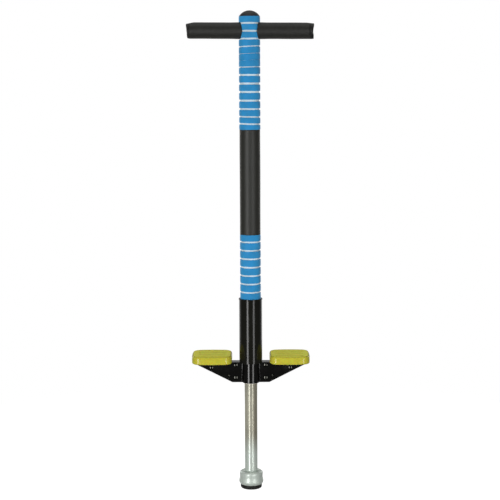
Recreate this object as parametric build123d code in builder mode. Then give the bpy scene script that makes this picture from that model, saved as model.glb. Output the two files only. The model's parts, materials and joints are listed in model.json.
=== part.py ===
"""A child's pogo stick, modelled piece by piece.

Millimetres. Z = 0 is the underside of the rubber tip and the Z axis is the axis
of the stick. X runs along the handlebar, and -Y is the front.
"""

from math import atan2, degrees, sqrt
import os

from build123d import *

# ---- driving dimensions ------------------------------------------------------

# main tube, a round steel tube that everything else hangs on
TUBE_R = 15.0
TUBE_BORE_R = 13.75
TUBE_BOTTOM = 217.0
TUBE_TOP = 936.0

# piston tube, the plated tube that slides in the main tube
PISTON_R = 12.7
PISTON_WALL = 2.0
PISTON_BOTTOM = 14.0
PISTON_TOP = 300.0
RUNNING_CLEARANCE = 0.06

# spring chamber, from the bottom up
BUSH_FLANGE = 1.2
BUSH_TOP = 276.0
BUMPER_TOP = 283.7
PISTON_HEAD_BOTTOM = 284.0
SEAT_BOTTOM = 300.3
SPRING_BOTTOM = 302.3
SPRING_LENGTH = 300.0
SPRING_TURNS = 44
SPRING_WIRE_R = 2.0
SPRING_COIL_R = 11.0
STOP_HEIGHT = 20.0
STOP_PIN_R = 3.0

# foot
TIP_R = 21.4
TIP_HEIGHT = 8.8
TIP_EDGE_R = 3.6
TIP_STEP = 1.6
TIP_PLUG_HEIGHT = 14.0
CUP_R = 23.2
CUP_BEAD_R = 24.4
CUP_TOP = 35.2

# gloss sleeve around the lower end of the main tube
SLEEVE_R = 22.8
SLEEVE_BORE_R = 21.2
SLEEVE_LIP_R = 23.6
SLEEVE_BOTTOM = 257.6
SLEEVE_TOP = 387.0
SLEEVE_LIP_HEIGHT = 2.6

# pressed pedal bracket, made of a front and a rear half
SHEET = 1.5
BRACKET_TOP = 259.5
BRACKET_BOTTOM = 217.0
WING_REACH = 112.0
WING_TIP_BOTTOM = 255.0
WING_CORNER_X = 37.0
WING_ROOT_X = 15.6
PANEL_DEPTH = 3.2
BEND_OUTER = (46.0, 237.0)
BEND_INNER = (20.0, 245.0)
FLANGE_HALF_WIDTH = 10.5
BULGE_R = TUBE_R + 0.05 + SHEET
ROOT_BEND_R = 3.5

# bracket fasteners, as (distance from the axis, height)
BOLTS = [(30.0, 252.2), (30.0, 225.8), (79.0, 246.6)]
BOLT_R = 2.5
BOLT_HEAD_R = 4.3
BOLT_HEAD_HEIGHT = 2.2
BOLT_CROWN = 1.15
BOLT_SPOT_R = 4.8
BOLT_TAIL = 6.0
NUT_R = 4.6
NUT_HEIGHT = 4.0
RIVET = (43.5, 231.0)
RIVET_R = 1.5
RIVET_HEAD_R = 2.4
RIVET_HEAD_HEIGHT = 1.6
RIVET_CROWN = 1.2
RIVET_TAIL = 0.8
RIVET_SPOT_R = 2.6

# pedals
PEDAL_INNER_X = 37.5
PEDAL_OUTER_X = 115.5
PEDAL_HALF_DEPTH = 40.0
PEDAL_CORNER_DEPTH = 36.0
PEDAL_BOTTOM = BRACKET_TOP
PEDAL_HEIGHT = 16.5
PEDAL_SKIN = 3.0
PEDAL_END_BOW = 1.8
PEDAL_CORNER_R = 16.0
PEDAL_EDGE_R = 5.2
PEDAL_LOWER_EDGE_R = 3.0
PEDAL_RIB = 2.5
PEDAL_RIBS_X = (55.0, 76.75, 98.5)
TREAD_GROOVES_Y = (-29.0, -9.5, 9.5, 29.0)
TREAD_GROOVE_LENGTH = 56.0
TREAD_GROOVE_WIDTH = 3.0
TREAD_GROOVE_DEPTH = 1.4
PEDAL_SCREWS_X = (50.0, 94.0)
PEDAL_SCREW_Y = 7.2
PEDAL_SCREW_R = 1.75
PEDAL_SCREW_LENGTH = 9.0
PEDAL_SCREW_HEAD_R = 3.2
PEDAL_SCREW_HEAD = 2.2

# handlebar
BAR_Z = 912.2
BAR_R = 11.0
BAR_BORE_R = 9.5
BAR_HALF_LENGTH = 117.0
GRIP_R = 16.1
GRIP_REACH = 124.3
GRIP_ROOT_R = 16.6
GRIP_ROOT_REACH = 24.0
PLUG_CAP = 2.5
PLUG_DEPTH = 16.0
BAR_SCREW_R = 2.0
BAR_SCREW_HEAD_HEIGHT = 1.2
BAR_SCREW_CROWN = 0.9

# foam sleeves on the main tube
FOAM_TOP = 939.5
UPPER_FOAM_BOTTOM = 721.4
MIDDLE_FOAM_BOTTOM = 514.4
LOWER_FOAM_BOTTOM = 373.0
UPPER_FOAM_R = 20.8
MIDDLE_FOAM_R = 20.6
LOWER_FOAM_R = 20.5
SKIN = 2.1

# grooves cut through the coloured skin: (height, width, lift of the right side)
UPPER_GROOVES = [
    (926.3, 4.1, 0.0), (911.3, 4.2, 0.0), (896.6, 4.0, 0.2), (882.0, 3.0, 1.0),
    (868.4, 1.7, 1.1), (855.6, 1.2, 1.3), (842.4, 2.7, 0.5), (827.0, 4.3, 0.0),
    (810.4, 4.4, 0.0), (794.2, 4.3, 0.0), (777.5, 4.3, 0.0), (761.2, 3.9, -0.2),
    (746.0, 3.6, -0.7), (732.2, 4.0, -0.7),
]
LOWER_GROOVE_FIRST = 500.6
LOWER_GROOVE_PITCH = 16.7
LOWER_GROOVE_COUNT = 7
LOWER_GROOVE_WIDTH = 3.7

# domed cap
CAP_R = 20.4
CAP_HEIGHT = 11.6
CAP_SPIGOT_BOTTOM = 927.0

CLEAR = 20.0  # far enough for a cutter to pass right through the bracket
SIDES = {"left": -1, "right": 1}
HALVES = {"front": -1, "rear": 1}


# ---- helpers -----------------------------------------------------------------


def ring(bottom, top, outer_r, bore_r=0.0, mode=Mode.ADD):
    """Add a round disc or tube on the Z axis to the open part."""
    with BuildSketch(Plane.XY.offset(bottom)) as section:
        Circle(outer_r)
        if bore_r:
            Circle(bore_r, mode=Mode.SUBTRACT)
    extrude(section.sketch, amount=top - bottom, mode=mode)


def rod(plane, radius, start, end, mode=Mode.ADD):
    """Add a round rod along a plane's normal, from start to end."""
    with BuildSketch(plane.offset(start)) as section:
        Circle(radius)
    extrude(section.sketch, amount=end - start, mode=mode)


def across(x, z):
    """A plane at (x, z) that faces front to back, for rods along +Y."""
    return Plane(origin=(x, 0, z), x_dir=(1, 0, 0), z_dir=(0, 1, 0))


def along_bar(z=BAR_Z):
    """A plane on the axis whose normal is +X, for rods along the handlebar."""
    return Plane(origin=(0, 0, z), x_dir=(0, 1, 0), z_dir=(1, 0, 0))


def mirrored_points(point):
    """The same fastener place on the left and the right wing."""
    return [(side * point[0], point[1]) for side in SIDES.values()]


def save(builder, label):
    """Label a finished piece and write it out."""
    builder.part.label = label
    export_step(builder.part, f"parts/{label}.step")


os.makedirs("parts", exist_ok=True)

# ---- main tube and what is inside it -----------------------------------------

STOP_BOTTOM = SPRING_BOTTOM + SPRING_LENGTH
STOP_PIN_Z = STOP_BOTTOM + STOP_HEIGHT / 2

with BuildPart() as frame_tube:
    ring(TUBE_BOTTOM, TUBE_TOP, TUBE_R, TUBE_BORE_R)
    rod(along_bar(), BAR_R + 0.05, -TUBE_R - 1, TUBE_R + 1, Mode.SUBTRACT)
    rod(along_bar(STOP_PIN_Z), STOP_PIN_R, -TUBE_R - 1, TUBE_R + 1, Mode.SUBTRACT)
    rod(across(0, BAR_Z), BAR_SCREW_R, -TUBE_R - 1, TUBE_R + 1, Mode.SUBTRACT)
save(frame_tube, "frame_tube")

with BuildPart() as lower_bush:
    ring(TUBE_BOTTOM - BUSH_FLANGE, TUBE_BOTTOM, TUBE_R - 0.3)
    ring(TUBE_BOTTOM, BUSH_TOP, TUBE_BORE_R)
    rod(Plane.XY, PISTON_R + RUNNING_CLEARANCE, TUBE_BOTTOM - 5, BUSH_TOP + 5, Mode.SUBTRACT)
save(lower_bush, "lower_bush")

with BuildPart() as rebound_bumper:
    ring(BUSH_TOP, BUMPER_TOP, TUBE_BORE_R, PISTON_R + 0.4)
    fillet(rebound_bumper.faces().sort_by(Axis.Z)[-1].edges(), 0.25)
save(rebound_bumper, "rebound_bumper")

with BuildPart() as spring:
    pitch = (SPRING_LENGTH - 2 * SPRING_WIRE_R) / SPRING_TURNS
    with BuildLine() as coil:
        Helix(
            pitch,
            SPRING_LENGTH - 2 * SPRING_WIRE_R,
            SPRING_COIL_R,
            center=(0, 0, SPRING_BOTTOM + SPRING_WIRE_R),
        )
    with BuildSketch(Plane(coil.line @ 0, z_dir=coil.line % 0)):
        Circle(SPRING_WIRE_R)
    sweep(is_frenet=True)
save(spring, "spring")

with BuildPart() as spring_top_stop:
    ring(STOP_BOTTOM, STOP_BOTTOM + STOP_HEIGHT, TUBE_BORE_R - 0.05)
    ring(STOP_BOTTOM - 12, STOP_BOTTOM, SPRING_COIL_R - SPRING_WIRE_R - 0.6)
    rod(along_bar(STOP_PIN_Z), STOP_PIN_R, -TUBE_R - 1, TUBE_R + 1, Mode.SUBTRACT)
    chamfer(spring_top_stop.faces().sort_by(Axis.Z)[0].edges(), 2.0)
save(spring_top_stop, "spring_top_stop")

with BuildPart() as spring_stop_pin:
    rod(along_bar(STOP_PIN_Z), STOP_PIN_R, -TUBE_R + 0.4, TUBE_R - 0.4)
save(spring_stop_pin, "spring_stop_pin")

# ---- piston ------------------------------------------------------------------

with BuildPart() as spring_seat:
    ring(SEAT_BOTTOM, SPRING_BOTTOM, TUBE_BORE_R - 0.4, 6.0)
    ring(SPRING_BOTTOM, SPRING_BOTTOM + 10, SPRING_COIL_R - SPRING_WIRE_R - 0.6, 6.0)
save(spring_seat, "spring_seat")

with BuildPart() as piston_tube:
    ring(PISTON_BOTTOM, PISTON_TOP, PISTON_R, PISTON_R - PISTON_WALL)
save(piston_tube, "piston_tube")

with BuildPart() as piston_head:
    ring(PISTON_HEAD_BOTTOM, PISTON_TOP, TUBE_BORE_R - RUNNING_CLEARANCE, PISTON_R)
    chamfer(piston_head.faces().sort_by(Axis.Z)[-1].edges().sort_by(SortBy.RADIUS)[-1], 0.4)
save(piston_head, "piston_head")

with BuildPart() as foot_cup:
    with BuildSketch(Plane.XZ) as cup_section:
        with BuildLine():
            shoulder = Spline(
                (PISTON_R, CUP_TOP - 4.5),
                (PISTON_R + 2.6, CUP_TOP - 1.5),
                (PISTON_R + 5.8, CUP_TOP),
                (CUP_R - 1.2, CUP_TOP - 1.8),
                (CUP_R, CUP_TOP - 5.5),
                tangents=((0.2, 1), (0, -1)),
            )
            waist = Spline(
                shoulder @ 1,
                (CUP_R - 0.2, 21.5),
                (CUP_BEAD_R, 14.5),
                (CUP_BEAD_R - 0.9, 11.2),
                (TIP_R + 0.4, TIP_HEIGHT),
                tangents=((0, -1), (-0.9, -1)),
            )
            Polyline(
                waist @ 1,
                (TIP_R - TIP_STEP, TIP_HEIGHT),
                (TIP_R - TIP_STEP, PISTON_BOTTOM),
                (PISTON_R, PISTON_BOTTOM),
                shoulder @ 0,
            )
        make_face()
    revolve(axis=Axis.Z)
save(foot_cup, "foot_cup")

with BuildPart() as rubber_tip:
    ring(0, TIP_HEIGHT, TIP_R)
    ring(TIP_HEIGHT, PISTON_BOTTOM, TIP_R - TIP_STEP)
    ring(PISTON_BOTTOM, PISTON_BOTTOM + TIP_PLUG_HEIGHT, PISTON_R - PISTON_WALL)
    fillet(rubber_tip.faces().sort_by(Axis.Z)[0].edges(), TIP_EDGE_R)
save(rubber_tip, "rubber_tip")

# ---- gloss sleeve and its spacers --------------------------------------------

with BuildPart() as outer_sleeve:
    ring(SLEEVE_BOTTOM, SLEEVE_TOP, SLEEVE_R)
    ring(SLEEVE_TOP - SLEEVE_LIP_HEIGHT, SLEEVE_TOP, SLEEVE_LIP_R)
    lip_edges = outer_sleeve.edges().filter_by(GeomType.CIRCLE).sort_by(SortBy.RADIUS)[-2:]
    fillet(lip_edges, 0.6)
    rod(Plane.XY, SLEEVE_BORE_R, SLEEVE_BOTTOM - 1, SLEEVE_TOP + 1, Mode.SUBTRACT)
    with BuildSketch(Plane.XY.offset(SLEEVE_BOTTOM - 1)):
        Rectangle(4 * SLEEVE_R, 2 * FLANGE_HALF_WIDTH + 0.6)
    extrude(amount=BRACKET_TOP + 0.3 - SLEEVE_BOTTOM + 1, mode=Mode.SUBTRACT)
save(outer_sleeve, "outer_sleeve")

for label, bottom, top in (
    ("sleeve_lower_spacer", BRACKET_TOP, BRACKET_TOP + 10),
    ("sleeve_upper_spacer", LOWER_FOAM_BOTTOM - 14, LOWER_FOAM_BOTTOM),
):
    with BuildPart() as spacer:
        ring(bottom, top, SLEEVE_BORE_R, TUBE_R)
    save(spacer, label)

# ---- pedal bracket -----------------------------------------------------------

WING_OUTLINE = [
    (WING_ROOT_X, BRACKET_BOTTOM),
    (WING_CORNER_X, BRACKET_BOTTOM),
    (WING_REACH, WING_TIP_BOTTOM),
    (WING_REACH, BRACKET_TOP),
    (WING_ROOT_X, BRACKET_TOP),
]


def panel_depth(x):
    """How far the pressed panel stands out of the seam plane at x."""
    return SHEET + PANEL_DEPTH * (WING_REACH - x) / (WING_REACH - BEND_INNER[0])


def plane_through(a, b, c):
    """The plane through three points, facing the front."""
    a, b, c = Vector(*a), Vector(*b), Vector(*c)
    normal = (b - a).cross(c - a)
    if normal.Y > 0:
        normal = normal * -1
    return Plane(origin=a, z_dir=normal)


def on_panel(point):
    """A bend point lifted onto the pressed panel."""
    return (point[0], -panel_depth(point[0]), point[1])


def on_rim(point):
    """An outline point on the front face of the flat rim."""
    return (point[0], -SHEET, point[1])


def wing(side):
    """One pressed arm as a solid wedge, cut to shape by the planes of its faces."""
    tip = on_rim((WING_REACH, WING_TIP_BOTTOM))
    corner = on_rim((WING_CORNER_X, BRACKET_BOTTOM))
    root = on_rim((WING_ROOT_X, BRACKET_BOTTOM))
    outer, inner = on_panel(BEND_OUTER), on_panel(BEND_INNER)
    inner_top = on_panel((BEND_INNER[0], BRACKET_TOP))
    with BuildPart() as arm:
        with BuildSketch(Plane.XZ):
            with BuildLine():
                Polyline(WING_OUTLINE, close=True)
            make_face()
        extrude(amount=3 * PANEL_DEPTH)
        split(bisect_by=plane_through(outer, inner, inner_top), keep=Keep.BOTTOM)
        split(bisect_by=plane_through(tip, corner, outer), keep=Keep.BOTTOM)
        split(bisect_by=plane_through(corner, root, inner), keep=Keep.BOTTOM)
    return arm.part if side > 0 else arm.part.mirror(Plane.YZ)


def seat_y(x, z):
    """Where a fastener at (x, z) meets the front face of the pressing."""
    slope = (WING_TIP_BOTTOM - BRACKET_BOTTOM) / (WING_REACH - WING_CORNER_X)
    edge_z = BRACKET_BOTTOM + max(0.0, (x - WING_CORNER_X) * slope)
    bend_z = BEND_OUTER[1] + (x - BEND_OUTER[0]) * (
        (WING_TIP_BOTTOM - BEND_OUTER[1]) / (WING_REACH - BEND_OUTER[0])
        if x > BEND_OUTER[0]
        else (BEND_INNER[1] - BEND_OUTER[1]) / (BEND_INNER[0] - BEND_OUTER[0])
    )
    share = min(1.0, (z - edge_z) / (bend_z - edge_z))
    return SHEET + share * (panel_depth(x) - SHEET)


def fastener_hole(point, hole_r, spot_r):
    """Holes through both wings, each with a flat spot for a head or a nut to sit on."""
    for x, z in mirrored_points(point):
        rod(across(x, z), hole_r, -CLEAR, CLEAR, Mode.SUBTRACT)
        rod(across(x, z), spot_r, -CLEAR, -seat_y(*point), Mode.SUBTRACT)


def bracket_half(half):
    """One pressed half of the bracket; half is -1 in front and 1 behind."""
    with BuildPart() as pressing:
        for side in SIDES.values():
            add(wing(side))
        ring(BRACKET_BOTTOM, BRACKET_TOP, BULGE_R)
        roots = pressing.edges().filter_by(
            lambda edge: abs(abs(edge.center().X) - BULGE_R + 1) < 1.2
            and -PANEL_DEPTH - 4 < edge.center().Y < -SHEET + 0.1
            and edge.length > 8
        )
        fillet(roots, ROOT_BEND_R)
        for side in SIDES.values():
            add(wing(side).moved(Location((0, SHEET, 0))), mode=Mode.SUBTRACT)
        with BuildSketch(Plane.XY.offset(BRACKET_TOP)):
            SlotOverall(2 * WING_REACH + 6, 2 * FLANGE_HALF_WIDTH)
        extrude(amount=-SHEET)
        rod(Plane.XY, TUBE_R + 0.05, BRACKET_BOTTOM - 1, BRACKET_TOP + 1, Mode.SUBTRACT)
        split(bisect_by=Plane.XZ, keep=Keep.TOP)
        for bolt in BOLTS:
            fastener_hole(bolt, BOLT_R, BOLT_SPOT_R)
        fastener_hole(RIVET, RIVET_R, RIVET_SPOT_R)
        for x in PEDAL_SCREWS_X:
            for side in SIDES.values():
                hole = Plane(origin=(side * x, -PEDAL_SCREW_Y, BRACKET_TOP))
                rod(hole, PEDAL_SCREW_R, -2 * SHEET, SHEET, Mode.SUBTRACT)
    return pressing.part if half < 0 else pressing.part.mirror(Plane.XZ)


for name, half in HALVES.items():
    with BuildPart() as bracket:
        add(bracket_half(half))
    save(bracket, f"bracket_{name}")

# ---- bracket fasteners -------------------------------------------------------


def domed_fastener(x, z, seat, head, shank_r, tail):
    """A round-headed fastener at (x, z); the head's back is seat in front of Y = 0.

    head is its radius, its full height and the height of its domed crown.
    """
    head_r, height, crown = head
    dome_r = (head_r**2 + crown**2) / (2 * crown)
    with BuildPart() as fastener:
        rod(across(x, z), head_r, -seat - height, -seat)
        with Locations((x, dome_r - seat - height, z)):
            Sphere(dome_r, mode=Mode.INTERSECT)
        rod(across(x, z), shank_r, -seat, tail)
    return fastener.part


with BuildPart() as bracket_bolts:
    for bolt in BOLTS:
        seat = seat_y(*bolt)
        for x, z in mirrored_points(bolt):
            head = (BOLT_HEAD_R, BOLT_HEAD_HEIGHT, BOLT_CROWN)
            add(domed_fastener(x, z, seat, head, BOLT_R, seat + BOLT_TAIL))
save(bracket_bolts, "bracket_bolts")

with BuildPart() as bracket_nuts:
    for bolt in BOLTS:
        seat = seat_y(*bolt)
        for x, z in mirrored_points(bolt):
            with BuildSketch(across(x, z).offset(seat)) as nut:
                RegularPolygon(NUT_R, 6)
                Circle(BOLT_R, mode=Mode.SUBTRACT)
            extrude(nut.sketch, amount=NUT_HEIGHT)
save(bracket_nuts, "bracket_nuts")

with BuildPart() as bracket_rivets:
    seat = seat_y(*RIVET)
    for x, z in mirrored_points(RIVET):
        head = (RIVET_HEAD_R, RIVET_HEAD_HEIGHT, RIVET_CROWN)
        add(domed_fastener(x, z, seat, head, RIVET_R, seat))
        rod(across(x, z), RIVET_HEAD_R, seat, seat + RIVET_TAIL)
save(bracket_rivets, "bracket_rivets")

# ---- pedals ------------------------------------------------------------------

PEDAL_MID_X = (PEDAL_INNER_X + PEDAL_OUTER_X) / 2
PEDAL_TOP = PEDAL_BOTTOM + PEDAL_HEIGHT


def pedal_plan(inset):
    """The pedal's outline from above, with bowed long edges."""
    left, right = PEDAL_INNER_X + inset, PEDAL_OUTER_X - inset
    depth, corner = PEDAL_HALF_DEPTH - inset, PEDAL_CORNER_DEPTH - inset
    with BuildLine() as outline:
        ThreePointArc((left, -corner), (PEDAL_MID_X, -depth), (right, -corner))
        ThreePointArc((right, -corner), (right + PEDAL_END_BOW, 0), (right, corner))
        ThreePointArc((right, corner), (PEDAL_MID_X, depth), (left, corner))
        Line((left, corner), (left, -corner))
    make_face(outline.edges())


def pedal(side):
    """A moulded pedal, hollow and ribbed underneath, for one side."""
    with BuildPart() as block:
        with BuildSketch(Plane.XY.offset(PEDAL_BOTTOM)):
            pedal_plan(0)
            fillet(vertices(), PEDAL_CORNER_R)
        extrude(amount=PEDAL_HEIGHT)
        fillet(block.faces().sort_by(Axis.Z)[-1].edges(), PEDAL_EDGE_R)
        fillet(block.faces().sort_by(Axis.Z)[0].edges(), PEDAL_LOWER_EDGE_R)
        with BuildSketch(Plane.XY.offset(PEDAL_BOTTOM)):
            pedal_plan(PEDAL_SKIN + PEDAL_LOWER_EDGE_R)
            fillet(vertices(), PEDAL_CORNER_R)
            with Locations((PEDAL_MID_X, 0)):
                Rectangle(PEDAL_OUTER_X, 2 * FLANGE_HALF_WIDTH + 4, mode=Mode.SUBTRACT)
        extrude(amount=PEDAL_HEIGHT - PEDAL_SKIN - 1, mode=Mode.SUBTRACT)
        with BuildSketch(Plane.XY.offset(PEDAL_BOTTOM)):
            for x in PEDAL_RIBS_X:
                with Locations((x, 0)):
                    Rectangle(PEDAL_RIB, 2 * PEDAL_CORNER_DEPTH - 4)
        extrude(amount=PEDAL_HEIGHT - PEDAL_SKIN)
        with BuildSketch(Plane.XY.offset(PEDAL_TOP)):
            with Locations(*[(PEDAL_MID_X, y) for y in TREAD_GROOVES_Y]):
                SlotOverall(TREAD_GROOVE_LENGTH, TREAD_GROOVE_WIDTH)
        extrude(amount=-TREAD_GROOVE_DEPTH, mode=Mode.SUBTRACT)
        for x in PEDAL_SCREWS_X:
            for y in (-PEDAL_SCREW_Y, PEDAL_SCREW_Y):
                pilot = Plane(origin=(x, y, PEDAL_BOTTOM))
                rod(pilot, PEDAL_SCREW_R, -1, PEDAL_SCREW_LENGTH, Mode.SUBTRACT)
    return block.part if side > 0 else block.part.mirror(Plane.YZ)


for name, side in SIDES.items():
    with BuildPart() as moulding:
        add(pedal(side))
    save(moulding, f"pedal_{name}")

with BuildPart() as pedal_screws:
    for side in SIDES.values():
        for x in PEDAL_SCREWS_X:
            for y in (-PEDAL_SCREW_Y, PEDAL_SCREW_Y):
                up = Plane(origin=(side * x, y, PEDAL_BOTTOM))
                rod(up, PEDAL_SCREW_R, -SHEET, PEDAL_SCREW_LENGTH)
                rod(up, PEDAL_SCREW_HEAD_R, -SHEET - PEDAL_SCREW_HEAD, -SHEET)
save(pedal_screws, "pedal_screws")

# ---- handlebar ---------------------------------------------------------------

with BuildPart() as handlebar_tube:
    rod(along_bar(), BAR_R, -BAR_HALF_LENGTH, BAR_HALF_LENGTH)
    rod(along_bar(), BAR_BORE_R, -BAR_HALF_LENGTH, BAR_HALF_LENGTH, Mode.SUBTRACT)
    rod(across(0, BAR_Z), BAR_SCREW_R, -TUBE_R - 1, TUBE_R + 1, Mode.SUBTRACT)
save(handlebar_tube, "handlebar_tube")

with BuildPart() as handlebar_screw:
    head = (2 * BAR_SCREW_R, BAR_SCREW_HEAD_HEIGHT, BAR_SCREW_CROWN)
    add(domed_fastener(0, BAR_Z, TUBE_R + 0.1, head, BAR_SCREW_R, TUBE_R + 0.4))
save(handlebar_screw, "handlebar_screw")


def bar_end(side, start, end, radius, mode=Mode.ADD):
    """Add a rod along the bar, measured outward on one side."""
    low, high = sorted((side * start, side * end))
    rod(along_bar(), radius, low, high, mode)


for name, side in SIDES.items():
    with BuildPart() as bar_plug:
        bar_end(side, BAR_HALF_LENGTH, BAR_HALF_LENGTH + PLUG_CAP, BAR_R)
        bar_end(side, BAR_HALF_LENGTH - PLUG_DEPTH, BAR_HALF_LENGTH, BAR_BORE_R)
        bar_end(side, BAR_HALF_LENGTH - PLUG_DEPTH, BAR_HALF_LENGTH - 4, BAR_BORE_R - 2, Mode.SUBTRACT)
    save(bar_plug, f"bar_plug_{name}")

    with BuildPart() as grip:
        bar_end(side, 0, GRIP_REACH, GRIP_R)
        bar_end(side, 0, GRIP_ROOT_REACH, GRIP_ROOT_R)
        bar_end(side, 0, GRIP_REACH + 1, BAR_R, Mode.SUBTRACT)
        ring(BAR_Z - 30, FOAM_TOP + 5, UPPER_FOAM_R, mode=Mode.SUBTRACT)
    save(grip, f"grip_{name}")

# ---- foam sleeves ------------------------------------------------------------


def foam_core(bottom, top, outer_r):
    """A foam tube over the main tube, with a hole for the bar if it crosses it."""
    with BuildPart() as core:
        ring(bottom, top, outer_r, TUBE_R)
        if bottom < BAR_Z < top:
            rod(along_bar(), BAR_R, -outer_r - 1, outer_r + 1, Mode.SUBTRACT)
            rod(across(0, BAR_Z), 2 * BAR_SCREW_R + 0.2, -TUBE_R - 1.5, TUBE_R + 0.6, Mode.SUBTRACT)
    return core.part


def foam_bands(bottom, top, outer_r, grooves):
    """The coloured skin of a foam tube, cut into bands by its grooves."""
    with BuildPart() as bands:
        ring(bottom, top, outer_r, outer_r - SKIN)
        for height, width, lift in grooves:
            tilt = -degrees(atan2(lift, outer_r))
            level = Plane.XY.offset(height).rotated((0, tilt, 0))
            with BuildSketch(level) as cut:
                Circle(2 * outer_r)
            extrude(cut.sketch, amount=width / 2, both=True, mode=Mode.SUBTRACT)
        if bottom < BAR_Z < top:
            rod(along_bar(), BAR_R, -outer_r - 1, outer_r + 1, Mode.SUBTRACT)
    return bands.part


LOWER_GROOVES = [
    (LOWER_GROOVE_FIRST - i * LOWER_GROOVE_PITCH, LOWER_GROOVE_WIDTH, 0.0)
    for i in range(LOWER_GROOVE_COUNT)
]

for name, bottom, top, outer_r, grooves in (
    ("upper", UPPER_FOAM_BOTTOM, FOAM_TOP, UPPER_FOAM_R, UPPER_GROOVES),
    ("lower", LOWER_FOAM_BOTTOM, MIDDLE_FOAM_BOTTOM, LOWER_FOAM_R, LOWER_GROOVES),
):
    with BuildPart() as core:
        add(foam_core(bottom, top, outer_r - SKIN))
    save(core, f"{name}_foam_core")
    with BuildPart() as bands:
        add(foam_bands(bottom, top, outer_r, grooves))
    save(bands, f"{name}_foam_bands")

with BuildPart() as middle_foam:
    ring(MIDDLE_FOAM_BOTTOM, UPPER_FOAM_BOTTOM, MIDDLE_FOAM_R, TUBE_R)
save(middle_foam, "middle_foam")

# ---- domed cap ---------------------------------------------------------------

with BuildPart() as top_cap:
    with BuildSketch(Plane.XZ) as cap_section:
        with BuildLine():
            Line((0, CAP_SPIGOT_BOTTOM), (0, FOAM_TOP + CAP_HEIGHT))
            cap_sphere_r = (CAP_R**2 + CAP_HEIGHT**2) / (2 * CAP_HEIGHT)
            mid_r = CAP_R * 0.6
            mid_z = FOAM_TOP + CAP_HEIGHT - cap_sphere_r + sqrt(cap_sphere_r**2 - mid_r**2)
            ThreePointArc((0, FOAM_TOP + CAP_HEIGHT), (mid_r, mid_z), (CAP_R, FOAM_TOP))
            Polyline(
                (CAP_R, FOAM_TOP),
                (TUBE_R, FOAM_TOP),
                (TUBE_R, TUBE_TOP),
                (TUBE_BORE_R, TUBE_TOP),
                (TUBE_BORE_R - 0.3, CAP_SPIGOT_BOTTOM),
                (0, CAP_SPIGOT_BOTTOM),
            )
        make_face()
    revolve(axis=Axis.Z)
save(top_cap, "top_cap")
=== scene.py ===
"""Looks for a child's pogo stick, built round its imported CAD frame. Metres, +Z up, -Y the front."""

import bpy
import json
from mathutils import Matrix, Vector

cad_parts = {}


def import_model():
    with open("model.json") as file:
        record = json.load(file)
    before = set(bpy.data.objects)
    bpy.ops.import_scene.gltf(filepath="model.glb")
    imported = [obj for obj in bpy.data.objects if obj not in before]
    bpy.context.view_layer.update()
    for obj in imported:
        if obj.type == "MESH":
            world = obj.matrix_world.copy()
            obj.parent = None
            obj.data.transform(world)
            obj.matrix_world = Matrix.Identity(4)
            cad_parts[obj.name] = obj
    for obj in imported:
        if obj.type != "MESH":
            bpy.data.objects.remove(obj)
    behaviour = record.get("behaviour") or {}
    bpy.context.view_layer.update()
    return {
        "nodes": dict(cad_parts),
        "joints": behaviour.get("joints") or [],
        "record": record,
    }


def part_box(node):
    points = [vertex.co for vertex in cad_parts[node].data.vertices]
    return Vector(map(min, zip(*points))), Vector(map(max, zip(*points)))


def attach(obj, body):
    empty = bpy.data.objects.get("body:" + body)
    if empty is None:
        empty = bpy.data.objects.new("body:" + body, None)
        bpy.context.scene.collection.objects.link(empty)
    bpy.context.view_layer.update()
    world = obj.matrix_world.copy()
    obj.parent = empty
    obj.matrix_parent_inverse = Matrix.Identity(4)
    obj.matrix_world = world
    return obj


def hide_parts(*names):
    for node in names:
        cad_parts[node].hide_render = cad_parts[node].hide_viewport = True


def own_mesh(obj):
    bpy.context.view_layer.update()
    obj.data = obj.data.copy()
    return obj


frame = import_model()

import json
import math

import bmesh
import bpy
from mathutils import Matrix, Vector, noise

MM = 0.001
nodes = frame["nodes"]

# ---- materials ---------------------------------------------------------------


def srgb(red, green, blue):
    """A display colour, 0 to 255, as linear values with alpha."""
    def linear(value):
        value /= 255
        return value / 12.92 if value <= 0.04045 else ((value + 0.055) / 1.055) ** 2.4

    return (linear(red), linear(green), linear(blue), 1.0)


def scaled(colour, factor):
    """The same colour, lighter or darker."""
    return tuple(min(1.0, channel * factor) for channel in colour[:3]) + (1.0,)


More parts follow.
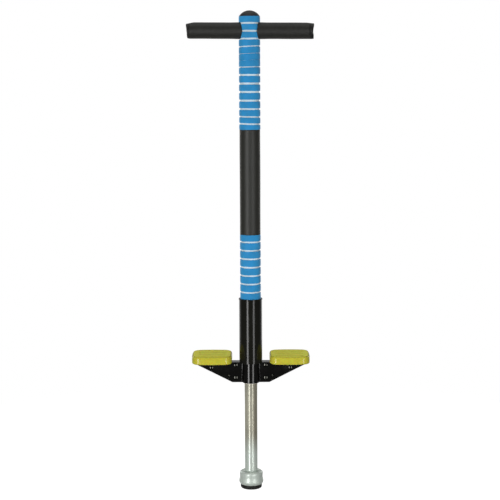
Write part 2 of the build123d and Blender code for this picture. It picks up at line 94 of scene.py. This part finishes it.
class Shade:
    """A Principled material in object space, with helpers for its node tree."""

    def __init__(self, name, roughness, metallic=0.0, **sockets):
        self.material = bpy.data.materials.new(name)
        self.material.use_nodes = True
        self.tree = self.material.node_tree
        self.shader = self.tree.nodes["Principled BSDF"]
        self.shader.inputs["Roughness"].default_value = roughness
        self.shader.inputs["Metallic"].default_value = metallic
        for socket, value in sockets.items():
            self.shader.inputs[socket.replace("_", " ")].default_value = value
        self.place = self.add("ShaderNodeTexCoord").outputs["Object"]
        self.normal = None

    def add(self, kind, **settings):
        """A new node, with its settings."""
        node = self.tree.nodes.new(kind)
        for key, value in settings.items():
            setattr(node, key, value)
        return node

    def link(self, source, target):
        self.tree.links.new(source, target)

    def stretch(self, scale, offset=(0, 0, 0)):
        """The object coordinates, stretched."""
        mapping = self.add("ShaderNodeMapping")
        mapping.inputs["Scale"].default_value = scale
        mapping.inputs["Location"].default_value = offset
        self.link(self.place, mapping.inputs["Vector"])
        return mapping.outputs["Vector"]

    def noise(self, scale, detail=2.0, vector=None, rough=0.5):
        """A noise field from 0 to 1."""
        node = self.add("ShaderNodeTexNoise")
        node.inputs["Scale"].default_value = scale
        node.inputs["Detail"].default_value = detail
        node.inputs["Roughness"].default_value = rough
        self.link(vector or self.place, node.inputs["Vector"])
        return node.outputs["Fac"]

    def axis(self, name):
        """One object coordinate."""
        split = self.add("ShaderNodeSeparateXYZ")
        self.link(self.place, split.inputs["Vector"])
        return split.outputs[name]

    def ramp(self, source, low, high, out_low=0.0, out_high=1.0, smooth=True):
        """source, remapped and clamped."""
        node = self.add("ShaderNodeMapRange", clamp=True)
        if smooth:
            node.interpolation_type = "SMOOTHSTEP"
        for key, value in zip(
            ("From Min", "From Max", "To Min", "To Max"), (low, high, out_low, out_high)
        ):
            node.inputs[key].default_value = value
        self.link(source, node.inputs["Value"])
        return node.outputs["Result"]

    def math(self, operation, first, second):
        """A math node; second may be a number or a socket."""
        node = self.add("ShaderNodeMath", operation=operation)
        self.link(first, node.inputs[0])
        if isinstance(second, (int, float)):
            node.inputs[1].default_value = second
        else:
            self.link(second, node.inputs[1])
        return node.outputs["Value"]

    def mix(self, factor, first, second):
        """A blend of two colours, each a colour or a socket."""
        node = self.add("ShaderNodeMix", data_type="RGBA")
        self.link(factor, node.inputs["Factor"])
        for socket, value in ((node.inputs[6], first), (node.inputs[7], second)):
            if isinstance(value, tuple):
                socket.default_value = value
            else:
                self.link(value, socket)
        return node.outputs[2]

    def colour(self, socket):
        self.link(socket, self.shader.inputs["Base Color"])
        return self

    def rough(self, socket):
        self.link(socket, self.shader.inputs["Roughness"])
        return self

    def bump(self, height, distance, strength=1.0):
        """Adds a bump, on top of any bump that is there."""
        node = self.add("ShaderNodeBump")
        node.inputs["Distance"].default_value = distance
        node.inputs["Strength"].default_value = strength
        self.link(height, node.inputs["Height"])
        if self.normal:
            self.link(self.normal, node.inputs["Normal"])
        self.normal = node.outputs["Normal"]
        self.link(self.normal, self.shader.inputs["Normal"])
        return self


def foam(name, colour, roughness, grain=0.00025, mottling=0.10, sheen=0.05, specular=0.25):
    """Closed-cell foam: a fine cell grain, a faint mottle and a soft sheen."""
    shade = Shade(
        name, roughness, Sheen_Weight=sheen, Sheen_Roughness=0.6, Specular_IOR_Level=specular
    )
    shade.shader.inputs["Diffuse Roughness"].default_value = 1.0
    cells = shade.noise(2600, 1.5)
    mottle = shade.noise(60, 3.0)
    blend = shade.math("ADD", shade.math("MULTIPLY", cells, 0.45), shade.math("MULTIPLY", mottle, 0.55))
    shade.colour(
        shade.mix(
            shade.ramp(blend, 0.35, 0.65),
            scaled(colour, 1 - mottling),
            scaled(colour, 1 + mottling),
        )
    )
    shade.bump(cells, grain, 0.35)
    shade.bump(mottle, 0.0012, 0.12)
    return shade.material


def grip_foam(name, colour):
    """Coarser foam, smudged, with painted shade near the ends where the foam creases past the bar."""
    shade = Shade(name, 0.46, Specular_IOR_Level=0.38)
    shade.shader.inputs["Diffuse Roughness"].default_value = 1.0
    cells = shade.noise(2600, 1.5)
    smudges = shade.noise(150, 3.0)
    reach = shade.math("ABSOLUTE", shade.axis("X"), 0.0)
    uneven = shade.math("ADD", reach, shade.math("MULTIPLY", smudges, 0.004))
    # Painted shade: near the grip ends, where the foam creases past the bar, the colour falls to as little
    # as 0.35 of the foam's own.
    painted_end_shade = shade.ramp(uneven, 0.1165, 0.1215)
    plain = shade.mix(shade.ramp(smudges, 0.35, 0.65), scaled(colour, 0.9), scaled(colour, 1.1))
    dark = shade.mix(shade.ramp(smudges, 0.4, 0.6), scaled(colour, 0.35), scaled(colour, 0.9))
    shade.colour(shade.mix(painted_end_shade, plain, dark))
    shade.bump(cells, 0.0004, 0.35)
    shade.bump(smudges, 0.0008, 0.15)
    return shade.material


def moulded(name, colour, roughness, orange_peel=0.00012, mottling=0.05, **sockets):
    """Moulded or sprayed gloss: a faint orange peel and slight handling marks."""
    shade = Shade(name, roughness, **sockets)
    peel = shade.noise(420, 2.0)
    marks = shade.noise(35, 5.0, rough=0.65)
    shade.colour(
        shade.mix(
            shade.ramp(marks, 0.35, 0.7),
            scaled(colour, 1 - mottling),
            scaled(colour, 1 + mottling),
        )
    )
    shade.rough(shade.ramp(marks, 0.4, 0.8, roughness, roughness * 1.6 + 0.03))
    shade.bump(peel, orange_peel, 0.5)
    return shade.material


def pedal_plastic(name, colour):
    """Translucent lime plastic: glossy at the sides and scuffed matt where shoes stand. Painted light
    makes the upward faces lighter, and the tread grooves are coloured darker.
    """
    shade = Shade(name, 0.2, Subsurface_Weight=0.12, Specular_IOR_Level=0.4)
    shade.shader.inputs["Subsurface Scale"].default_value = 0.004
    scuffs = shade.noise(90, 5.0, shade.stretch((1.0, 0.35, 1.0)), 0.65)
    split = shade.add("ShaderNodeSeparateXYZ")
    shade.link(shade.add("ShaderNodeTexCoord").outputs["Normal"], split.inputs["Vector"])
    tread = shade.ramp(split.outputs["Z"], 0.6, 0.95)
    plain = shade.mix(shade.ramp(scuffs, 0.35, 0.7), scaled(colour, 0.95), scaled(colour, 1.05))
    # Painted light: faces that point up take 1.7 to 2 times the plastic's colour, as if lit from above.
    painted_lit_top = shade.mix(shade.ramp(scuffs, 0.4, 0.65), scaled(colour, 2.0), scaled(colour, 1.7))
    # Darker, 0.6 of the colour, in the tread grooves more than 0.7 mm below the top of the tread.
    at_tread_top = shade.ramp(shade.axis("Z"), TREAD_HEIGHT - 0.7 * MM, TREAD_HEIGHT - 0.3 * MM)
    painted_lit_top = shade.mix(at_tread_top, scaled(colour, 0.6), painted_lit_top)
    shade.colour(shade.mix(tread, plain, painted_lit_top))
    scuffed = shade.math("ADD", tread, shade.math("MULTIPLY", scuffs, 0.3))
    shade.rough(shade.ramp(scuffed, 0.1, 1.2, 0.17, 0.75))
    shade.bump(shade.noise(420, 2.0), 0.0001, 0.5)
    return shade.material


def steel(name, colour, roughness, streak=0.12, metallic=1.0):
    """Drawn and plated steel: fine lines along the tube and a patchy tone."""
    shade = Shade(name, roughness, metallic=metallic)
    lines = shade.noise(900, 2.0, shade.stretch((1.0, 1.0, 0.02)))
    patches = shade.noise(45, 4.0)
    shade.colour(
        shade.mix(
            shade.ramp(shade.math("ADD", lines, shade.math("MULTIPLY", patches, 0.6)), 0.55, 1.05),
            scaled(colour, 1 - streak),
            scaled(colour, 1 + streak),
        )
    )
    shade.rough(shade.ramp(patches, 0.3, 0.7, roughness * 0.85, roughness * 1.25))
    shade.bump(lines, 0.00005, 0.3)
    return shade.material


def tarnished_zinc(name):
    """Plated tube: clean and greenish near the foot, browned where it runs in the bush, with painted shade
    on the right (+X) side of the browned part.
    """
    shade = Shade(name, 0.2, metallic=0.28)
    height, side = shade.axis("Z"), shade.axis("X")
    lines = shade.noise(1100, 2.0, shade.stretch((1.0, 1.0, 0.015)))
    stains = shade.noise(38, 5.0, shade.stretch((1.0, 1.0, 0.35)), 0.6)
    edge = shade.math("ADD", height, shade.math("MULTIPLY", stains, 0.045))
    worn = shade.ramp(edge, 0.085, 0.135)
    # Painted shade: on the right (+X) side, the browned part is pulled towards a darker brown.
    shaded_side = shade.ramp(side, -0.001, 0.009)
    clean = shade.mix(shade.ramp(lines, 0.35, 0.65), scaled(ZINC, 0.93), scaled(ZINC, 1.05))
    dull = shade.mix(shade.ramp(stains, 0.4, 0.62), TARNISH, scaled(TARNISH, 1.3))
    dull = shade.mix(shade.math("MULTIPLY", shaded_side, 0.7), dull, SHADED_TARNISH)
    shade.colour(shade.mix(shade.math("MULTIPLY", worn, 0.85), clean, dull))
    dulled = shade.ramp(height, 0.036, 0.030, 0.24, 0.36)
    shade.rough(shade.math("ADD", dulled, shade.ramp(stains, 0.35, 0.7, 0.0, 0.08)))
    shade.bump(lines, 0.00004, 0.25)
    return shade.material


TREAD_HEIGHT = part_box("pedal_left")[1][2]
ZINC = srgb(216, 226, 217)
TARNISH = srgb(170, 165, 146)
# The darker brown of the painted shade on the tube's right side.
SHADED_TARNISH = srgb(124, 112, 88)
BLUE = srgb(36, 157, 215)
LIME = srgb(205, 198, 62)

MATERIALS = {
    "gloss_black": moulded("gloss_black_plastic", srgb(24, 24, 20), 0.12, 0.00005, Specular_IOR_Level=0.3),
    "black_paint": moulded("black_enamel", srgb(7, 7, 6), 0.16, 0.00004),
    "blue_foam": foam("blue_foam", BLUE, 0.62, sheen=0.2),
    "white_foam": foam("white_foam", srgb(226, 240, 244), 0.75),
    "black_foam": foam("black_foam", srgb(35, 36, 30), 0.48, specular=0.5),
    "grip_foam": grip_foam("grip_foam", srgb(42, 42, 39)),
    "lime_plastic": pedal_plastic("lime_plastic", LIME),
    "zinc": tarnished_zinc("tarnished_zinc"),
    "black_zinc": steel("blackened_steel", srgb(70, 70, 66), 0.09),
    "bright_steel": steel("plated_steel", srgb(190, 192, 186), 0.28),
    "spring_steel": steel("spring_wire", srgb(120, 120, 118), 0.3),
    "black_rubber": foam("black_rubber", srgb(30, 30, 27), 0.5, 0.0002),
    "nylon": moulded("nylon", srgb(214, 210, 200), 0.4),
    "satin_plastic": moulded("satin_black_plastic", srgb(24, 27, 28), 0.45),
}

# ---- CAD nodes keep their shape and take a material --------------------------

slots = {entry["node"]: entry["material_slot"] for entry in frame["record"]["subparts"]}
for name, obj in nodes.items():
    obj.data.materials.clear()
    satin = name in ("top_cap", "bar_plug_left", "bar_plug_right")
    obj.data.materials.append(MATERIALS["satin_plastic" if satin else slots[name]])

# ---- mesh helpers ------------------------------------------------------------


def make_piece(name, mesh, body, node, smooth=True):
    """A finished piece that stands for a CAD node, on its body."""
    obj = bpy.data.objects.new(name, mesh)
    bpy.context.scene.collection.objects.link(obj)
    mesh.materials.append(MATERIALS[slots[node]])
    mesh.shade_smooth() if smooth else None
    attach(obj, body)
    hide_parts(node)
    return obj


def lathe(bm, profile, place, segments):
    """Adds a closed surface of revolution; place(radius, height, angle) gives a point."""
    rows = []
    for radius, height in profile:
        rows.append(
            [
                bm.verts.new(place(radius, height, 2 * math.pi * k / segments))
                for k in range(segments)
            ]
        )
    for low, high in zip(rows, rows[1:] + rows[:1]):
        for k in range(segments):
            n = (k + 1) % segments
            bm.faces.new((low[k], low[n], high[n], high[k]))


def mesh_from(bm, name):
    """A mesh with outward normals."""
    bmesh.ops.recalc_face_normals(bm, faces=bm.faces)
    mesh = bpy.data.meshes.new(name)
    bm.to_mesh(mesh)
    bm.free()
    return mesh


def rounded_tube(outer, inner, low, high, rim, bulge=0.0, rows=10):
    """A tube's section with rounded outer rims and a slightly full outer wall."""
    profile = [(inner, low), (outer - rim, low)]
    for k in range(1, 6):
        turn = math.pi / 2 * k / 5
        profile.append((outer - rim + rim * math.sin(turn), low + rim - rim * math.cos(turn)))
    span = high - low - 2 * rim
    for k in range(1, rows):
        share = k / rows
        profile.append((outer + bulge * math.sin(math.pi * share), low + rim + span * share))
    for k in range(0, 5):
        turn = math.pi / 2 * k / 5
        profile.append((outer - rim + rim * math.cos(turn), high - rim + rim * math.sin(turn)))
    profile += [(outer - rim, high), (inner, high)]
    return profile


# ---- foam sleeves ------------------------------------------------------------


def islands(obj):
    """The separate solids of a node, as lists of points."""
    bm = bmesh.new()
    bm.from_mesh(obj.data)
    bmesh.ops.remove_doubles(bm, verts=bm.verts, dist=1e-6)
    left, found = set(bm.verts), []
    while left:
        stack, points = [left.pop()], []
        while stack:
            vert = stack.pop()
            points.append(vert.co.copy())
            for edge in vert.link_edges:
                other = edge.other_vert(vert)
                if other in left:
                    left.remove(other)
                    stack.append(other)
        found.append(points)
    bm.free()
    return found


def band_ends(points):
    """The two end planes of a foam band, as (height on the axis, rise along X)."""
    middle = sum(point.z for point in points) / len(points)
    lower = [point for point in points if point.z < middle]
    upper = [point for point in points if point.z >= middle]
    ends = []
    for rim, outermost in ((lower, min), (upper, max)):
        reach = max(point.x for point in rim)
        right = outermost(p.z for p in rim if p.x > 0.6 * reach)
        left = outermost(p.z for p in rim if p.x < 0.6 * min(q.x for q in rim))
        ends.append(((right + left) / 2, (right - left) / (2 * reach)))
    return ends


bar_height = sum(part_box("handlebar_tube")[end][2] for end in (0, 1)) / 2
BAR_TILT = 0.0066
GRIP_RADIUS = 15.85 * MM


def above_bar(x, z):
    """A point's height over the bar's line, which drops a little to the right."""
    return z - bar_height + BAR_TILT * x


def grip_root(rise):
    """How far along X the grips' inner ends stand, by height over the bar's line."""
    return 14.4 * MM + 3.2 * MM * min(1.0, (rise / GRIP_RADIUS) ** 2)


def tucked(x, y, z, inset):
    """A point of the stick's foam, which is cut away flat where the grips butt against it."""
    rise = above_bar(x, z)
    if abs(rise) < GRIP_RADIUS + 0.3 * MM:
        x = math.copysign(min(abs(x), max(grip_root(rise), 15.4 * MM) - inset), x)
    return (x, y, z)


def foam_band(bm, points, radius, core, seed):
    """One coloured ring of foam, its edges rounded over and a little uneven."""
    (low, low_rise), (high, high_rise) = band_ends(points)
    low, high = low - 0.25 * MM, high + 0.25 * MM

    def place(r, z, angle):
        share = (z - low) / (high - low)
        skin = r > core + 0.5 * MM
        x, y = r * math.cos(angle), r * math.sin(angle)
        lean = (low_rise * (1 - share) + high_rise * share) * x
        wander = noise.noise(Vector((3 * math.cos(angle), 3 * math.sin(angle), seed)))
        swell = noise.noise(Vector((2 * math.cos(angle), 2 * math.sin(angle), 40 * z + seed)))
        edge = abs(2 * share - 1) ** 3 * math.copysign(1, share - 0.5)
        grow = 1 + 0.006 * swell * skin
        height = z + lean + 0.25 * MM * wander * edge
        return tucked(x * grow, y * grow, height, 0.0 if skin else 0.25 * MM)

    lathe(bm, rounded_tube(radius, core, low, high, 0.7 * MM, 0.2 * MM), place, 144)


for which in ("upper", "lower"):
    bands_node, core_node = f"{which}_foam_bands", f"{which}_foam_core"
    band_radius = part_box(bands_node)[1][0] - 0.2 * MM
    core_low, core_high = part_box(core_node)
    core_radius = core_high[0] + 0.15 * MM
    bm = bmesh.new()
    for index, points in enumerate(sorted(islands(nodes[bands_node]), key=lambda p: p[0].z)):
        foam_band(bm, points, band_radius, core_radius - 0.25 * MM, index * 1.7)
    rings = make_piece(f"{which}_foam_rings", mesh_from(bm, "rings"), "frame", bands_node)

    bm = bmesh.new()
    bore = 15.0 * MM

    def core_place(r, z, angle):
        pinch = noise.noise(Vector((2 * math.cos(angle), 2 * math.sin(angle), 90 * z)))
        r += 0.12 * MM * pinch * (r > bore + 0.5 * MM)
        return tucked(r * math.cos(angle), r * math.sin(angle), z, 0.12 * MM)

    lathe(
        bm,
        rounded_tube(core_radius - 0.15 * MM, bore, core_low[2], core_high[2], 0.6 * MM, rows=110),
        core_place,
        144,
    )
    base = make_piece(f"{which}_foam_base", mesh_from(bm, "base"), "frame", core_node)

middle_low, middle_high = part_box("middle_foam")
bm = bmesh.new()


def middle_place(r, z, angle):
    """The plain sleeve, with slow waves where it was pulled over the tube."""
    if r > 16 * MM:
        wave = noise.noise(Vector((1.5 * math.cos(angle), 1.5 * math.sin(angle), 14 * z)))
        r += 0.22 * MM * wave
    return (r * math.cos(angle), r * math.sin(angle), z)


lathe(
    bm,
    rounded_tube(
        middle_high[0] - 0.35 * MM, 15.0 * MM, middle_low[2] + 0.1 * MM, middle_high[2] - 0.1 * MM,
        1.2 * MM, rows=70,
    ),
    middle_place,
    96,
)
make_piece("middle_foam_sleeve", mesh_from(bm, "sleeve"), "frame", "middle_foam")

# ---- grips -------------------------------------------------------------------

# How each end differs: trim, slant and hollow of the end face, droop of the top
# edge and lift of the bottom edge, in millimetres.
GRIP_ENDS = {-1: (1.2, 1.15, 0.3, 2.6, 1.0), 1: (-1.4, 0.5, 1.6, 1.4, 0.3)}


def eased(value, low, high):
    """0 below low, 1 above high and smooth between."""
    share = max(0.0, min(1.0, (value - low) / (high - low)))
    return share * share * (3 - 2 * share)


def grip(side, node):
    """A foam grip, butted against the stick's sleeve and crumpled past the bar's end."""
    low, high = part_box(node)
    reach = max(abs(low[0]), abs(high[0]))
    bar_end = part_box("handlebar_tube")[1][0]
    bore = 11.0 * MM
    trim, slant, hollow, droop, lift = (value * MM for value in GRIP_ENDS[side])
    bm = bmesh.new()
    segments, rows = 96, 64

    def skin(x, end, up, fore):
        """The outer radius: a fuller root, a ripple, and a pinched, drooping end."""
        ripple = noise.noise(Vector((1.5 * up, 1.5 * fore, 30 * x * side)))
        root = 0.35 * MM * (1 - eased(x, 18 * MM, 40 * MM))
        last = eased(x, end - 18 * MM, end + 4 * MM)
        tip = eased(x, end - 6 * MM, end)
        dent = 2.6 * MM * eased(x, bar_end - 1.5 * MM, bar_end + 1.5 * MM) * abs(fore) ** 1.5
        edge = (droop * last * 1.3 if up > 0 else lift * tip) * abs(up) ** 1.5
        return GRIP_RADIUS + root + 0.2 * MM * ripple - dent - edge

    def loop(share, depth, lip=0.0):
        """One ring of the skin (depth 0) or of the bore (depth 1), or between them."""
        verts = []
        for k in range(segments):
            angle = 2 * math.pi * k / segments
            up, fore = math.cos(angle), math.sin(angle)
            wave = noise.noise(Vector((2.2 * up, 2.2 * fore, 5.0 * side)))
            end = reach - trim - slant * (1 - up) - hollow * (1 - up * up) + 0.4 * MM * wave
            start = grip_root((GRIP_RADIUS * (1 - depth) + bore * depth) * up) + 0.05 * MM
            x = start + (end - start) * share + lip
            inner = bore - 1.6 * MM * eased(x, bar_end, bar_end + 4 * MM)
            r = skin(x, end, up, fore) * (1 - depth) + inner * depth
            height = bar_height + r * up - BAR_TILT * side * x
            verts.append(bm.verts.new((side * x, r * fore, height)))
        return verts

    shares = [k / rows for k in range(rows - 8)] + [
        1 - (1 - k / 20) * 8 / rows for k in range(20)
    ]
    loops = [loop(share, 0.0) for share in shares]
    for turn in (20, 50, 90, 130, 160):
        lean = math.radians(turn)
        loops.append(loop(0.995, (1 - math.cos(lean)) / 2, 0.6 * MM * math.sin(lean)))
    loops += [loop(share, 1.0) for share in reversed(shares)]
    for low_loop, high_loop in zip(loops, loops[1:] + loops[:1]):
        for k in range(segments):
            n = (k + 1) % segments
            bm.faces.new((low_loop[k], low_loop[n], high_loop[n], high_loop[k]))
    piece = make_piece(f"{node}_foam", mesh_from(bm, node), "frame", node)


for side, node in ((-1, "grip_left"), (1, "grip_right")):
    grip(side, node)

# ---- coil spring -------------------------------------------------------------

spring_low, spring_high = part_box("spring")
SPRING_TURNS = 44
WIRE_RADIUS = 2.0 * MM
STEPS, SIDES = 24, 10
bm = bmesh.new()
coil_radius = spring_high[0] - WIRE_RADIUS
free = spring_high[2] - spring_low[2] - 2 * WIRE_RADIUS
loops = []
for step in range(SPRING_TURNS * STEPS + 1):
    share = step / (SPRING_TURNS * STEPS)
    turn = 2 * math.pi * share * SPRING_TURNS
    radial = Vector((math.cos(turn), math.sin(turn), 0))
    middle = radial * coil_radius + Vector((0, 0, spring_low[2] + WIRE_RADIUS + free * share))
    loop = []
    for k in range(SIDES):
        round_angle = 2 * math.pi * k / SIDES
        offset = radial * math.cos(round_angle) + Vector((0, 0, math.sin(round_angle)))
        loop.append(bm.verts.new(middle + offset * WIRE_RADIUS))
    loops.append(loop)
for low_loop, high_loop in zip(loops, loops[1:]):
    for k in range(SIDES):
        n = (k + 1) % SIDES
        bm.faces.new((low_loop[k], low_loop[n], high_loop[n], high_loop[k]))
bm.faces.new(loops[0])
bm.faces.new(loops[-1])
coil = make_piece("coil_spring", mesh_from(bm, "coil"), "frame", "spring")
slide = next(joint for joint in frame["joints"] if joint["name"] == "piston_slide")
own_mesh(coil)

# ---- floor, light and camera -------------------------------------------------

FLOOR_RADIUS = 0.98


def floor():
    """A pale disc that fades out at its rim."""
    bpy.ops.mesh.primitive_circle_add(vertices=128, radius=FLOOR_RADIUS, fill_type="NGON")
    disc = bpy.context.object
    disc.name = "floor"
    shade = Shade("pale_floor", 0.8)
    shade.shader.inputs["Emission Color"].default_value = (1, 1, 1, 1)
    seen = shade.add("ShaderNodeLightPath").outputs["Is Camera Ray"]
    shade.link(seen, shade.shader.inputs["Emission Strength"])
    grain = shade.noise(14, 3.0)
    shade.colour(shade.mix(grain, srgb(164, 164, 163), srgb(170, 170, 169)))
    distance = shade.add("ShaderNodeVectorMath", operation="LENGTH")
    shade.link(shade.place, distance.inputs[0])
    solid = shade.ramp(distance.outputs["Value"], 0.72 * FLOOR_RADIUS, FLOOR_RADIUS, 1.0, 0.0)
    shade.link(solid, shade.shader.inputs["Alpha"])
    disc.data.materials.append(shade.material)
    disc.visible_glossy = disc.visible_shadow = False


def world(front, back, backdrop):
    """A dim room in front, a pale wall behind, and plain white where the camera looks."""
    scene_world = bpy.data.worlds.new("studio")
    scene_world.use_nodes = True
    tree = scene_world.node_tree
    room = tree.nodes["Background"]
    room.inputs["Color"].default_value = (1, 1, 1, 1)
    direction = tree.nodes.new("ShaderNodeTexCoord")
    split = tree.nodes.new("ShaderNodeSeparateXYZ")
    wall = tree.nodes.new("ShaderNodeMapRange")
    wall.interpolation_type = "SMOOTHSTEP"
    for key, value in (
        ("From Min", 0.1), ("From Max", 0.8), ("To Min", front), ("To Max", back)
    ):
        wall.inputs[key].default_value = value
    tree.links.new(direction.outputs["Generated"], split.inputs["Vector"])
    tree.links.new(split.outputs["Y"], wall.inputs["Value"])
    tree.links.new(wall.outputs["Result"], room.inputs["Strength"])
    seen = tree.nodes.new("ShaderNodeBackground")
    seen.inputs["Color"].default_value = (1, 1, 1, 1)
    seen.inputs["Strength"].default_value = backdrop
    path = tree.nodes.new("ShaderNodeLightPath")
    mix = tree.nodes.new("ShaderNodeMixShader")
    tree.links.new(path.outputs["Is Camera Ray"], mix.inputs["Fac"])
    tree.links.new(room.outputs[0], mix.inputs[1])
    tree.links.new(seen.outputs[0], mix.inputs[2])
    tree.links.new(mix.outputs[0], tree.nodes["World Output"].inputs["Surface"])
    bpy.context.scene.world = scene_world


def softbox(name, azimuth, distance, centre_z, width, height, power, elevation=0.0):
    """A rectangular lamp aimed at the stick's axis; azimuth 0 is the front."""
    data = bpy.data.lights.new(name, "AREA")
    data.shape, data.size, data.size_y, data.energy = "RECTANGLE", width, height, power
    lamp = bpy.data.objects.new(name, data)
    bpy.context.scene.collection.objects.link(lamp)
    turn, lift = math.radians(azimuth), math.radians(elevation)
    aim = Vector((0, 0, centre_z))
    back = Vector(
        (math.sin(turn) * math.cos(lift), -math.cos(turn) * math.cos(lift), math.sin(lift))
    )
    lamp.location = aim + back * distance
    lamp.rotation_euler = back.to_track_quat("Z", "Y").to_euler()
    lamp.visible_camera = False


floor()
world(0.08, 0.45, 1.0)
softbox("front_left", -31, 2.5, 0.36, 0.66, 2.2, 37)
softbox("front_right", 31, 2.5, 0.36, 0.66, 2.2, 23)
softbox("rear_left", -145, 2.5, 0.8, 0.6, 2.0, 6)
softbox("rear_right", 145, 2.5, 0.8, 0.6, 2.0, 6)
softbox("overhead", 0, 2.4, 0.4, 2.2, 2.2, 12, 88)

CAMERA_DISTANCE = 2.64
CAMERA_HEIGHT = 0.817
CAMERA_PITCH = math.radians(7.2)
CAMERA_ROLL = math.radians(0.25)
CAMERA_SIDE = -0.0007
FOCAL_LENGTH = 96.8

camera = bpy.data.objects.new("camera", bpy.data.cameras.new("camera"))
bpy.context.scene.collection.objects.link(camera)
camera.data.lens = FOCAL_LENGTH
camera.location = (CAMERA_SIDE, -CAMERA_DISTANCE, CAMERA_HEIGHT)
camera.rotation_euler = (
    Matrix.Rotation(math.pi / 2 - CAMERA_PITCH, 4, "X") @ Matrix.Rotation(-CAMERA_ROLL, 4, "Z")
).to_euler()
bpy.context.scene.camera = camera
bpy.context.scene.view_settings.view_transform = "Standard"
